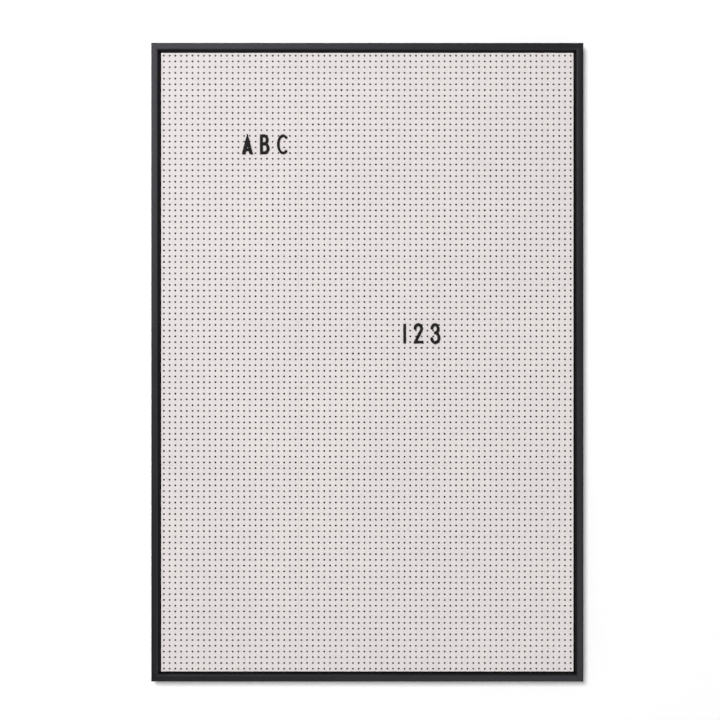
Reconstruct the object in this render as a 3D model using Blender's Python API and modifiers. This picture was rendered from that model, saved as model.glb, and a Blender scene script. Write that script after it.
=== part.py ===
"""Perforated peg letter board: a slim mitred frame around nine moulded tiles.

The board is laid out flat, seen from the front: x runs to the right, y runs up
and z = 0 is the front plane of the frame, so depths behind it are negative.
An empty then stands the whole board up, with its front towards -Y.
"""
import math

import bmesh
import bpy
from mathutils import Matrix

# Peg grid and tiles
PITCH = 0.0055
TILE_COLUMNS = 24
TILE_ROWS = 36
TILES_ACROSS = 3
TILES_UP = 3
TILE_FACE = 0.0022
TILE_HOLLOW = 0.0028
TILE_RIM = 0.0016
# One hole in this many is modelled along each row and column, at the true pitch grid
HOLE_STEP = 4
FIRST_HOLE = 1

# Square snap tabs that hold a tile in the back board, between the holes
TAB_SIDE = 0.0030
TAB_INSET_COLUMNS = 5
TAB_INSET_ROWS = 5
TAB_SHORT_OF_REAR = 0.0006

# Clearances
SEAT = 0.0003
PIN_CLEARANCE = 0.0003
FIELD_GAP = 0.0010
BOARD_CLEARANCE = 0.0005
MERGE = 0.000001

# Back board
BOARD_THICKNESS = 0.0030

# Frame section
PANEL_RECESS = 0.0030
FRAME_WALL = 0.0014
FACE_WIDTH = 0.0081
INNER_EDGE_RADIUS = 0.0024
OUTER_EDGE_RADIUS = 0.0008
EDGE_STEPS = 3
CHANNEL_WIDTH = 0.0132
REAR_LIP = 0.0040

# Corner keys and their set screws
KEY_ARM = 0.0380
KEY_THICKNESS = 0.0020
KEY_JACK = 0.0015
SET_SCREW_RADIUS = 0.0017
SET_SCREW_FROM_END = 0.0070

# Screws that hold the back board to the ledge
PANEL_SCREW_INSET = 0.0900
PANEL_SCREW_HEAD_RADIUS = 0.0024
PANEL_SCREW_HEAD_HEIGHT = 0.0013
PANEL_SCREW_HEAD_EDGE = 0.0005
PANEL_SCREW_CROWN_RADIUS = 0.0015
PANEL_SCREW_CROWN_HEIGHT = 0.0012
PANEL_SCREW_RADIUS = 0.0011
PANEL_SCREW_BITE = 0.0024
PANEL_SCREW_POINT = 0.0008
PANEL_SCREW_HEAD_CLEAR = 0.0006

# Sawtooth hangers in the top rail
HANGER_LENGTH = 0.0460
HANGER_THICKNESS = 0.0012
HANGER_FROM_CENTRE = 0.1000
WINDOW_LENGTH = 0.0350
WINDOW_HEIGHT = 0.0070
TOOTH_COUNT = 7
TOOTH_DEPTH = 0.0016

# Rubber bumpers on the back of the stiles
BUMPER_RADIUS = 0.0065
BUMPER_THICKNESS = 0.0015
BUMPER_EDGE = 0.0005
BUMPER_FROM_END = 0.0600

# Letters and digits: strokes, and how far a round or pointed end passes the line of the flat ones
STROKE = 0.0028
LIGHT_STROKE = 0.0025
BAR_STROKE = 0.0026
SLANT_STROKE = 0.0033
OVERSHOOT = 0.0005
CHARACTER_THICKNESS = 0.0018
PIN_RADIUS = 0.0005
PIN_MARGIN = 0.00125
PIN_PROUD = 0.0017
PIN_ROWS = 3

# Outlines of the letters and digits, sideways from the anchor and inwards from the ends
A_MIDDLE = 0.0005
A_HALF_FOOT = 0.0054
A_HALF_APEX = 0.0003
A_BAR_HEIGHT = 0.0030
B_TURN = 0.0041
B_WAIST = 0.0005
B_UPPER_WIDTH = 0.0083
B_LOWER_WIDTH = 0.0092
C_MIDDLE = -0.0010
C_RADIUS = 0.0047
C_MOUTH = 52
ONE_CORNER = 0.0006
TWO_MIDDLE = 0.0021
TWO_RADII = (0.0031, 0.0039)
TWO_WIDTH = 0.0094
TWO_NECK = 0.0012
TWO_FOOT_JOIN = 0.0037
THREE_UPPER_MIDDLE = 0.0017
THREE_UPPER_RADII = (0.0030, 0.0040)
THREE_LOWER_MIDDLE = 0.0019
THREE_LOWER_RADII = (0.0035, 0.0046)
THREE_WAIST = 0.0007

# Facets of the round pieces
DRILL_SIDES = 8
PIN_SIDES = 8
TURNED_STEPS = 10
ARC_STEPS = 12

# Sizes that follow from the ones above
tile_width = TILE_COLUMNS * PITCH
tile_height = TILE_ROWS * PITCH
field_width = TILES_ACROSS * tile_width
field_height = TILES_UP * tile_height
frame_width = field_width + 2 * (FIELD_GAP + FACE_WIDTH)
frame_height = field_height + 2 * (FIELD_GAP + FACE_WIDTH)
hole_side = 2 * (PIN_RADIUS + PIN_CLEARANCE)

tile_back = PANEL_RECESS + TILE_FACE + TILE_HOLLOW
board_front = tile_back + SEAT
board_back = board_front + BOARD_THICKNESS
ledge_front = board_back + SEAT
ledge_back = ledge_front + FRAME_WALL
lip_front = ledge_back + KEY_JACK + KEY_THICKNESS + SEAT
frame_depth = lip_front + FRAME_WALL
board_depth = frame_depth + SEAT + BUMPER_THICKNESS

channel_end = CHANNEL_WIDTH + 2 * FRAME_WALL
slot_centre = channel_end / 2
key_width = CHANNEL_WIDTH - 2 * SEAT
key_outer = FRAME_WALL + SEAT
key_screw_line = (FACE_WIDTH - FRAME_WALL + channel_end - REAR_LIP) / 2
panel_screw_line = channel_end + PANEL_SCREW_HEAD_CLEAR + PANEL_SCREW_HEAD_RADIUS
ledge_end = panel_screw_line + PANEL_SCREW_HEAD_RADIUS + PANEL_SCREW_HEAD_CLEAR
panel_screw_hole = PANEL_SCREW_RADIUS + PIN_CLEARANCE
character_height = PIN_ROWS * PITCH + 2 * PIN_MARGIN

SIDES = (("left", math.radians(0)), ("bottom", math.radians(90)),
         ("right", math.radians(180)), ("top", math.radians(-90)))
CORNERS = (("top_left", -1, 1), ("top_right", 1, 1),
           ("bottom_left", -1, -1), ("bottom_right", 1, -1))
ROW_NAMES = ("top", "middle", "bottom")
COLUMN_NAMES = ("left", "centre", "right")

# Base colour, metallic and roughness of each finish
BLACK_ALUMINIUM = ((0.022, 0.021, 0.023), 0.6, 0.42)
GREY_PLASTIC = ((0.76, 0.73, 0.725), 0.0, 0.5)
BLACK_BOARD = ((0.012, 0.012, 0.013), 0.0, 0.85)
ZINC_STEEL = ((0.55, 0.56, 0.58), 1.0, 0.35)
BLACK_RUBBER = ((0.018, 0.018, 0.018), 0.0, 0.8)
BLACK_PLASTIC = ((0.016, 0.014, 0.017), 0.0, 0.38)


def empty_scene():
    """Start from a scene with nothing in it."""
    for old in list(bpy.data.objects):
        bpy.data.objects.remove(old, do_unlink=True)


def new_collection(name):
    """Add a collection to the scene."""
    collection = bpy.data.collections.new(name)
    bpy.context.scene.collection.children.link(collection)
    return collection


def finish(piece, look):
    """Give a piece a material of its own."""
    colour, metallic, roughness = look
    material = bpy.data.materials.new(piece.name)
    material.use_nodes = True
    shader = material.node_tree.nodes["Principled BSDF"]
    shader.inputs["Base Color"].default_value = (*colour, 1.0)
    shader.inputs["Metallic"].default_value = metallic
    shader.inputs["Roughness"].default_value = roughness
    piece.data.materials.clear()
    piece.data.materials.append(material)


def baked(source, name):
    """Turn an object with its modifiers into a plain mesh object in its place."""
    bpy.context.view_layer.update()
    graph = bpy.context.evaluated_depsgraph_get()
    mesh = bpy.data.meshes.new_from_object(source.evaluated_get(graph))
    mesh.name = name
    form = bmesh.new()
    form.from_mesh(mesh)
    bmesh.ops.remove_doubles(form, verts=form.verts, dist=MERGE)
    form.to_mesh(mesh)
    form.free()
    piece = bpy.data.objects.new(name, mesh)
    piece.matrix_world = source.matrix_world.copy()
    pieces.objects.link(piece)
    bpy.data.objects.remove(source, do_unlink=True)
    piece.name = name
    return piece


def flat_solid(name, loops, thickness):
    """Fill closed outlines in the xy plane and give them a thickness about z = 0."""
    outline = bpy.data.curves.new(name, "CURVE")
    outline.dimensions = "2D"
    outline.fill_mode = "BOTH"
    outline.extrude = thickness / 2
    for loop in loops:
        spline = outline.splines.new("POLY")
        spline.points.add(len(loop) - 1)
        for point, (x, y) in zip(spline.points, loop):
            point.co = (x, y, 0, 1)
        spline.use_cyclic_u = True
    drawn = bpy.data.objects.new(name + "_outline", outline)
    pieces.objects.link(drawn)
    return baked(drawn, name)


def mesh_object(name, form, collection):
    """Make an object from a finished bmesh."""
    mesh = bpy.data.meshes.new(name)
    form.to_mesh(mesh)
    form.free()
    item = bpy.data.objects.new(name, mesh)
    collection.objects.link(item)
    return item


def boxes(name, centres, size, collection):
    """Make equal boxes at the given centres as one object."""
    form = bmesh.new()
    for centre in centres:
        place = Matrix.Translation(centre) @ Matrix.Diagonal((*size, 1))
        bmesh.ops.create_cube(form, size=1, matrix=place)
    return mesh_object(name, form, collection)


def rods(name, centres, radius, length, sides, collection):
    """Make equal upright cylinders at the given centres as one object."""
    form = bmesh.new()
    for centre in centres:
        bmesh.ops.create_cone(form, cap_ends=True, segments=sides, radius1=radius, radius2=radius,
                              depth=length, matrix=Matrix.Translation(centre))
    return mesh_object(name, form, collection)


def turned(name, profile, steps):
    """Turn a profile of (radius, height) points, listed from the top down, about z."""
    mesh = bpy.data.meshes.new(name)
    edges = [(index, index + 1) for index in range(len(profile) - 1)]
    mesh.from_pydata([(radius, 0, height) for radius, height in profile], edges, [])
    piece = bpy.data.objects.new(name, mesh)
    pieces.objects.link(piece)
    screw = piece.modifiers.new("turn", "SCREW")
    screw.steps = steps
    screw.render_steps = steps
    screw.use_merge_vertices = True
    screw.merge_threshold = 0.00005
    screw.use_smooth_shade = True
    return piece


def boolean(piece, operation, tool):
    """Cut a piece with a tool, or join the tool to it."""
    step = piece.modifiers.new(tool.name, "BOOLEAN")
    step.operation = operation
    step.object = tool
    tool.hide_render = True
    tool.display_type = "WIRE"


def stand(piece):
    """Hang a piece on the empty that stands the board up."""
    piece.parent = board_axis


def arc(centre, radii, start, end, steps=ARC_STEPS):
    """Points along an elliptical arc, with its angles in degrees."""
    points = []
    for index in range(steps + 1):
        angle = math.radians(start + (end - start) * index / steps)
        points.append((centre[0] + radii[0] * math.cos(angle), centre[1] + radii[1] * math.sin(angle)))
    return points


def thickened(centre, radii, start, end, width):
    """Outer and inner edge of a stroke that follows an arc, both from start to end."""
    outer = arc(centre, (radii[0] + width / 2, radii[1] + width / 2), start, end)
    inner = arc(centre, (radii[0] - width / 2, radii[1] - width / 2), start, end)
    return outer, inner


def peg_place(column, row):
    """Centre of a grid position, counted from the top left hole."""
    x = (column + 0.5) * PITCH - field_width / 2
    y = field_height / 2 - (row + 0.5) * PITCH
    return x, y


# Frame

def rail_section():
    """Section of the frame: inwards from the outer edge, and back from the front."""
    outer = OUTER_EDGE_RADIUS
    inner = INNER_EDGE_RADIUS
    section = [(0, frame_depth)]
    section += arc((outer, outer), (outer, outer), 180, 270, EDGE_STEPS)
    section += arc((FACE_WIDTH - inner, inner), (inner, inner), 270, 360, EDGE_STEPS)
    section += [
        (FACE_WIDTH, ledge_front),
        (ledge_end, ledge_front),
        (ledge_end, ledge_back),
        (channel_end, ledge_back),
        (channel_end, frame_depth),
        (channel_end - REAR_LIP, frame_depth),
        (channel_end - REAR_LIP, lip_front),
        (channel_end - FRAME_WALL, lip_front),
        (channel_end - FRAME_WALL, ledge_back),
        (FACE_WIDTH - FRAME_WALL, ledge_back),
        (FACE_WIDTH - FRAME_WALL, inner + FRAME_WALL / 2),
        (FACE_WIDTH - inner - FRAME_WALL / 2, FRAME_WALL),
        (FRAME_WALL, FRAME_WALL),
        (FRAME_WALL, lip_front),
        (REAR_LIP, lip_front),
        (REAR_LIP, frame_depth),
    ]
    return section


def make_rail(side, angle):
    """One side of the frame, mitred at both ends and drilled for its screws."""
    upright = side in ("left", "right")
    length = frame_height if upright else frame_width
    across = frame_width if upright else frame_height
    name = f"frame_{'stile' if upright else 'rail'}_{side}"
    rail = flat_solid(name, [rail_section()], length)
    for vertex in rail.data.vertices:
        trim = vertex.co.x + SEAT / math.sqrt(2)
        vertex.co.z -= math.copysign(trim, vertex.co.z)
    turn = Matrix.Rotation(angle, 4, "Z")
    upright_section = Matrix.Translation((-across / 2, 0, 0)) @ Matrix.Rotation(math.radians(-90), 4, "X")
    rail.matrix_world = turn @ upright_section
    line = -across / 2 + panel_screw_line
    reach = length / 2 - PANEL_SCREW_INSET
    middle = -(ledge_front + ledge_back) / 2
    drill = rods(f"{name}_drill", [(line, -reach, middle), (line, reach, middle)],
                 panel_screw_hole, 2 * FRAME_WALL, DRILL_SIDES, cutters)
    drill.matrix_world = turn
    stand(rail)
    stand(drill)
    boolean(rail, "DIFFERENCE", drill)
    finish(rail, BLACK_ALUMINIUM)


def panel_screw_places():
    """Every screw that holds the back board, with its name and place."""
    places = []
    for side, angle in SIDES:
        upright = side in ("left", "right")
        across = frame_width if upright else frame_height
        reach = (frame_height if upright else frame_width) / 2 - PANEL_SCREW_INSET
        line = -across / 2 + panel_screw_line
        for end, along in (("a", -reach), ("b", reach)):
            x = line * math.cos(angle) - along * math.sin(angle)
            y = line * math.sin(angle) + along * math.cos(angle)
            places.append((f"panel_screw_{side}_{end}", x, y))
    return places


def make_panel_screw(name, x, y):
    """Pan head screw through the ledge into the back board, with its head at the rear."""
    profile = [
        (0, SEAT + PANEL_SCREW_HEAD_HEIGHT),
        (PANEL_SCREW_CROWN_RADIUS, SEAT + PANEL_SCREW_CROWN_HEIGHT),
        (PANEL_SCREW_HEAD_RADIUS, SEAT + PANEL_SCREW_HEAD_EDGE),
        (PANEL_SCREW_HEAD_RADIUS, SEAT),
        (PANEL_SCREW_RADIUS, SEAT),
        (PANEL_SCREW_RADIUS, -FRAME_WALL - SEAT - PANEL_SCREW_BITE + PANEL_SCREW_POINT),
        (0, -FRAME_WALL - SEAT - PANEL_SCREW_BITE),
    ]
    screw = turned(name, profile, TURNED_STEPS)
    screw.matrix_world = Matrix.Translation((x, y, -ledge_back)) @ Matrix.Rotation(math.pi, 4, "X")
    stand(screw)
    finish(screw, ZINC_STEEL)


def make_corner_key(corner, right, up):
    """L-shaped plate in the rear channel of two rails, with two threaded holes."""
    far = key_outer + KEY_ARM
    inner = key_outer + key_width
    outline = [(key_outer, key_outer), (far, key_outer), (far, inner),
               (inner, inner), (inner, far), (key_outer, far)]
    along = far - SET_SCREW_FROM_END
    radius = SET_SCREW_RADIUS + PIN_CLEARANCE
    holes = []
    for centre in ((along, key_screw_line), (key_screw_line, along)):
        holes.append(arc(centre, (radius, radius), 0, 360 - 360 / DRILL_SIDES, DRILL_SIDES - 1))
    loops = []
    for loop in [outline] + holes:
        loops.append([(right * (frame_width / 2 - x), up * (frame_height / 2 - y)) for x, y in loop])
    key = flat_solid(f"corner_key_{corner}", loops, KEY_THICKNESS)
    key.matrix_world = Matrix.Translation((0, 0, -lip_front + SEAT + KEY_THICKNESS / 2))
    stand(key)
    finish(key, ZINC_STEEL)
    for end, (x, y) in (("a", (along, key_screw_line)), ("b", (key_screw_line, along))):
        place = (right * (frame_width / 2 - x), up * (frame_height / 2 - y))
        make_set_screw(f"key_screw_{corner}_{end}", *place)


def make_set_screw(name, x, y):
    """Headless screw in a corner key that presses on the ledge and tightens the mitre."""
    length = lip_front - SEAT - ledge_back - SEAT
    screw = rods(name, [(0, 0, 0)], SET_SCREW_RADIUS, length, DRILL_SIDES, pieces)
    screw.matrix_world = Matrix.Translation((x, y, -ledge_back - SEAT - length / 2))
    stand(screw)
    finish(screw, ZINC_STEEL)


def make_hanger(side, direction):
    """Plate in the channel of the top rail, with a sawtooth edge to hang from."""
    half = key_width / 2
    outline = [(-HANGER_LENGTH / 2, -half), (HANGER_LENGTH / 2, -half),
               (HANGER_LENGTH / 2, half), (-HANGER_LENGTH / 2, half)]
    tooth = WINDOW_LENGTH / TOOTH_COUNT
    top = WINDOW_HEIGHT / 2
    window = [(-WINDOW_LENGTH / 2, -top), (WINDOW_LENGTH / 2, -top)]
    for index in range(TOOTH_COUNT):
        right = WINDOW_LENGTH / 2 - index * tooth
        window.append((right, top - TOOTH_DEPTH))
        window.append((right - tooth / 2, top))
    window.append((-WINDOW_LENGTH / 2, top - TOOTH_DEPTH))
    hanger = flat_solid(f"hanger_{side}", [outline, window], HANGER_THICKNESS)
    place = (direction * HANGER_FROM_CENTRE, frame_height / 2 - slot_centre,
             -lip_front + SEAT + HANGER_THICKNESS / 2)
    hanger.matrix_world = Matrix.Translation(place)
    stand(hanger)
    finish(hanger, ZINC_STEEL)


def make_bumper(corner, right, up):
    """Rubber dot across the rear slot of a stile, which stands off the wall."""
    profile = [
        (0, BUMPER_THICKNESS),
        (BUMPER_RADIUS - BUMPER_EDGE, BUMPER_THICKNESS),
        (BUMPER_RADIUS, BUMPER_THICKNESS - BUMPER_EDGE),
        (BUMPER_RADIUS, 0),
        (0, 0),
    ]
    bumper = turned(f"bumper_{corner}", profile, 2 * DRILL_SIDES)
    place = (right * (frame_width / 2 - slot_centre), up * (frame_height / 2 - BUMPER_FROM_END),
             -frame_depth - SEAT)
    bumper.matrix_world = Matrix.Translation(place) @ Matrix.Rotation(math.pi, 4, "X")
    stand(bumper)
    finish(bumper, BLACK_RUBBER)


# Tiles and back board

def tab_places(column, row):
    """Centres of the snap tabs of one tile, halfway between grid holes."""
    middle_x = (column + 0.5) * tile_width - field_width / 2
    middle_y = field_height / 2 - (row + 0.5) * tile_height
    reach_x = tile_width / 2 - TAB_INSET_COLUMNS * PITCH
    reach_y = tile_height / 2 - TAB_INSET_ROWS * PITCH
    return [(middle_x - reach_x, middle_y + reach_y), (middle_x + reach_x, middle_y - reach_y)]


def make_tile(column, row, pegged):
    """Shallow moulded tray whose face carries the peg holes."""
    name = f"tile_{ROW_NAMES[row]}_{COLUMN_NAMES[column]}"
    middle_x = (column + 0.5) * tile_width - field_width / 2
    middle_y = field_height / 2 - (row + 0.5) * tile_height
    depth = TILE_FACE + TILE_HOLLOW
    outer = (tile_width - SEAT, tile_height - SEAT, depth)
    tile = boxes(name, [(middle_x, middle_y, -PANEL_RECESS - depth / 2)], outer, pieces)
    hollow = (outer[0] - 2 * TILE_RIM, outer[1] - 2 * TILE_RIM, 2 * TILE_HOLLOW)
    tray = boxes(f"{name}_tray", [(middle_x, middle_y, -tile_back)], hollow, cutters)
    tab_front = -PANEL_RECESS - TILE_FACE / 2
    tab_rear = -board_back + TAB_SHORT_OF_REAR
    tabs = boxes(f"{name}_tabs", [(x, y, (tab_front + tab_rear) / 2) for x, y in tab_places(column, row)],
                 (TAB_SIDE, TAB_SIDE, tab_front - tab_rear), cutters)
    first_column = column * TILE_COLUMNS
    first_row = row * TILE_ROWS
    grid = set()
    for across in range(FIRST_HOLE, TILE_COLUMNS, HOLE_STEP):
        for down in range(FIRST_HOLE, TILE_ROWS, HOLE_STEP):
            grid.add((first_column + across, first_row + down))
    for across, down in pegged:
        if across // TILE_COLUMNS == column and down // TILE_ROWS == row:
            grid.add((across, down))
    middle = -PANEL_RECESS - TILE_FACE / 2
    punch = boxes(f"{name}_punch", [(*peg_place(across, down), middle) for across, down in sorted(grid)],
                  (hole_side, hole_side, 2 * TILE_FACE), cutters)
    boolean(tile, "DIFFERENCE", tray)
    boolean(tile, "UNION", tabs)
    boolean(tile, "DIFFERENCE", punch)
    for item in (tile, tray, tabs, punch):
        stand(item)
    finish(tile, GREY_PLASTIC)


def make_back_board():
    """Flat sheet that the tiles snap into, screwed to the ledge of the frame."""
    width = frame_width - 2 * (FACE_WIDTH + BOARD_CLEARANCE)
    height = frame_height - 2 * (FACE_WIDTH + BOARD_CLEARANCE)
    middle = -(board_front + board_back) / 2
    board = boxes("back_board", [(0, 0, middle)], (width, height, BOARD_THICKNESS), pieces)
    slots = []
    for column in range(TILES_ACROSS):
        for row in range(TILES_UP):
            slots += [(x, y, middle) for x, y in tab_places(column, row)]
    slot_side = TAB_SIDE + 2 * PIN_CLEARANCE
    slot = boxes("back_board_slots", slots, (slot_side, slot_side, 2 * BOARD_THICKNESS), cutters)
    drill = rods("back_board_drill", [(x, y, middle) for _, x, y in panel_screw_places()],
                 panel_screw_hole, 2 * BOARD_THICKNESS, DRILL_SIDES, cutters)
    boolean(board, "DIFFERENCE", slot)
    boolean(board, "DIFFERENCE", drill)
    for item in (board, slot, drill):
        stand(item)
    finish(board, BLACK_BOARD)


# Letters and digits, each drawn about its own anchor on the peg grid

def draw_a():
    """Pointed A with a low crossbar, centred between two columns."""
    bottom = -character_height / 2
    top = character_height / 2 + OVERSHOOT
    bar_bottom = bottom + A_BAR_HEIGHT
    bar_top = bar_bottom + LIGHT_STROKE
    lean = (A_HALF_FOOT - A_HALF_APEX) / (top - bottom)
    slant = SLANT_STROKE * math.hypot(1, lean)

    def inner(y):
        return A_HALF_APEX + (top - y) * lean - slant

    outline = [(-A_HALF_FOOT, bottom), (-A_HALF_APEX, top), (A_HALF_APEX, top), (A_HALF_FOOT, bottom),
               (inner(bottom), bottom), (inner(bar_bottom), bar_bottom),
               (-inner(bar_bottom), bar_bottom), (-inner(bottom), bottom)]
    tip = top - (slant - A_HALF_APEX) / lean
    counter = [(-inner(bar_top), bar_top), (0, tip), (inner(bar_top), bar_top)]
    return [[(x + A_MIDDLE, y) for x, y in loop] for loop in (outline, counter)]


def bowl(left, centre, radii, start, end):
    """Counter of a bowl: an arc closed by the inner edge of the stem."""
    inner = (radii[0] - STROKE / 2, radii[1] - STROKE / 2)
    points = arc(centre, inner, start, end)
    return [(left, points[0][1])] + points + [(left, points[-1][1])]


def draw_b():
    """B with a straight stem on the anchor column and two bowls."""
    half = character_height / 2
    left = -PIN_MARGIN
    stem = left + STROKE
    turn = left + B_TURN
    upper_radii = (B_UPPER_WIDTH - B_TURN - STROKE / 2, (half - B_WAIST) / 2 - STROKE / 4)
    lower_radii = (B_LOWER_WIDTH - B_TURN - STROKE / 2, (half + B_WAIST) / 2 - STROKE / 4)
    upper_centre = (turn, half - STROKE / 2 - upper_radii[1])
    lower_centre = (turn, -half + STROKE / 2 + lower_radii[1])
    outer_upper = thickened(upper_centre, upper_radii, 90, -45, STROKE)[0]
    outer_lower = thickened(lower_centre, lower_radii, 48, -90, STROKE)[0]
    outline = [(left, -half), (left, half)] + outer_upper + outer_lower
    return [outline, bowl(stem, upper_centre, upper_radii, 90, -90),
            bowl(stem, lower_centre, lower_radii, 90, -90)]


def round_end(centre, angle, width, direction):
    """Half circle that closes a stroke, turning from one edge to the other."""
    return arc(centre, (width / 2, width / 2), angle, angle + direction * 180, 4)[1:-1]


def open_stroke(centre, radii, start, end, width):
    """Outline of a stroke along an arc, with both ends rounded."""
    outer, inner = thickened(centre, radii, start, end, width)
    direction = math.copysign(1, end - start)
    last = ((outer[-1][0] + inner[-1][0]) / 2, (outer[-1][1] + inner[-1][1]) / 2)
    first = ((outer[0][0] + inner[0][0]) / 2, (outer[0][1] + inner[0][1]) / 2)
    close_last = round_end(last, end, width, direction)
    close_first = round_end(first, start + 180, width, direction)
    return outer + close_last + inner[::-1] + close_first


def draw_c():
    """Narrow open C, whose pins sit on its upper and lower turns."""
    radii = (C_RADIUS, (character_height - LIGHT_STROKE) / 2)
    return [open_stroke((C_MIDDLE, 0), radii, C_MOUTH, 360 - C_MOUTH, LIGHT_STROKE)]


def draw_1():
    """Plain upright bar on the anchor column."""
    across = BAR_STROKE / 2 - ONE_CORNER
    up = character_height / 2 - ONE_CORNER
    outline = []
    for x, y, start in ((1, 1, 0), (-1, 1, 90), (-1, -1, 180), (1, -1, 270)):
        outline += arc((x * across, y * up), (ONE_CORNER, ONE_CORNER), start, start + 90, 2)
    return [outline]


def draw_2():
    """Hooked 2 with a straight diagonal and a flat foot."""
    bottom = -character_height / 2
    top = character_height / 2 + OVERSHOOT
    centre = (TWO_MIDDLE, top - STROKE / 2 - TWO_RADII[1])
    outer, inner = thickened(centre, TWO_RADII, 178, -24, STROKE)
    left = TWO_MIDDLE - TWO_RADII[0] - STROKE / 2
    right = left + TWO_WIDTH
    foot_top = bottom + BAR_STROKE
    hook = round_end((left + STROKE / 2, outer[0][1]), 0, STROKE, -1)
    foot = [(left + TWO_FOOT_JOIN, foot_top), (right, foot_top), (right, bottom), (left, bottom),
            (left, foot_top - TWO_NECK)]
    return [outer + foot + inner[::-1] + hook]


def draw_3():
    """3 made of two open bowls that meet at a short waist."""
    half = character_height / 2 + OVERSHOOT
    upper_centre = (THREE_UPPER_MIDDLE, half - STROKE / 2 - THREE_UPPER_RADII[1])
    lower_centre = (THREE_LOWER_MIDDLE, -half + STROKE / 2 + THREE_LOWER_RADII[1])
    upper_outer = thickened(upper_centre, THREE_UPPER_RADII, 172, -46, STROKE)[0]
    upper_inner = thickened(upper_centre, THREE_UPPER_RADII, 172, -78, STROKE)[1]
    lower_outer = thickened(lower_centre, THREE_LOWER_RADII, 50, -168, STROKE)[0]
    lower_inner = thickened(lower_centre, THREE_LOWER_RADII, 78, -168, STROKE)[1]
    waist_y = (upper_inner[-1][1] + lower_inner[0][1]) / 2
    waist = [(THREE_WAIST, waist_y - STROKE / 2), (THREE_WAIST, waist_y + STROKE / 2)]
    tail = round_end(((lower_outer[-1][0] + lower_inner[-1][0]) / 2,
                      (lower_outer[-1][1] + lower_inner[-1][1]) / 2), -168, STROKE, -1)
    nose = round_end(((upper_outer[0][0] + upper_inner[0][0]) / 2,
                      (upper_outer[0][1] + upper_inner[0][1]) / 2), -8, STROKE, -1)
    return [upper_outer + lower_outer + tail + lower_inner[::-1] + waist + upper_inner[::-1] + nose]


# Node, outline, anchor on the grid, and the pins about that anchor in columns and rows
CHARACTERS = (
    ("letter_a", draw_a, 14.5, 15.5, ((-0.5, 1.5), (0.5, 1.5))),
    ("letter_b", draw_b, 17, 15.5, ((0, -1.5), (0, 1.5))),
    ("letter_c", draw_c, 21, 15.5, ((0, -1.5), (0, 1.5))),
    ("digit_1", draw_1, 42, 48.5, ((0, -1.5), (0, 1.5))),
    ("digit_2", draw_2, 44, 48.5, ((0, -1.5), (1, 1.5))),
    ("digit_3", draw_3, 47, 48.5, ((0, -1.5), (0, 1.5))),
)


def pegged_holes():
    """Grid positions of the holes that hold a pin."""
    holes = set()
    for _, _, column, row, pins in CHARACTERS:
        for across, down in pins:
            holes.add((round(column + across), round(row + down)))
    return holes


def make_character(name, draw, column, row, pins):
    """Flat letter or digit with its pins pushed through the tile's face."""
    body = flat_solid(name, draw(), CHARACTER_THICKNESS)
    x, y = peg_place(column, row)
    body_back = -PANEL_RECESS + SEAT
    body.matrix_world = Matrix.Translation((x, y, body_back + CHARACTER_THICKNESS / 2))
    root = body_back + CHARACTER_THICKNESS / 2
    tip = -PANEL_RECESS - TILE_FACE - PIN_PROUD
    centres = [(x + across * PITCH, y - down * PITCH, (root + tip) / 2) for across, down in pins]
    pegs = rods(f"{name}_pegs", centres, PIN_RADIUS, root - tip, PIN_SIDES, cutters)
    stand(body)
    stand(pegs)
    boolean(body, "UNION", pegs)
    finish(body, BLACK_PLASTIC)


def build():
    """Model the whole board."""
    for side, angle in SIDES:
        make_rail(side, angle)
    for corner, right, up in CORNERS:
        make_corner_key(corner, right, up)
        make_bumper(corner, right, up)
    for name, x, y in panel_screw_places():
        make_panel_screw(name, x, y)
    make_hanger("left", -1)
    make_hanger("right", 1)
    make_back_board()
    pegged = pegged_holes()
    for row in range(TILES_UP):
        for column in range(TILES_ACROSS):
            make_tile(column, row, pegged)
    for character in CHARACTERS:
        make_character(*character)


empty_scene()
pieces = new_collection("letter_board")
cutters = new_collection("letter_board_cutters")
board_axis = bpy.data.objects.new("board_axis", None)
pieces.objects.link(board_axis)
build()
board_axis.rotation_euler = (math.radians(90), 0, 0)
board_axis.location = (0, -board_depth / 2, 0)
bpy.context.view_layer.update()
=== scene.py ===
"""Looks of the perforated letter board: finished pieces, materials, stage and camera."""
import math

import bmesh
import bpy
from bpy.props import FloatProperty, FloatVectorProperty, IntProperty, PointerProperty
from mathutils import Matrix, Vector


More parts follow.
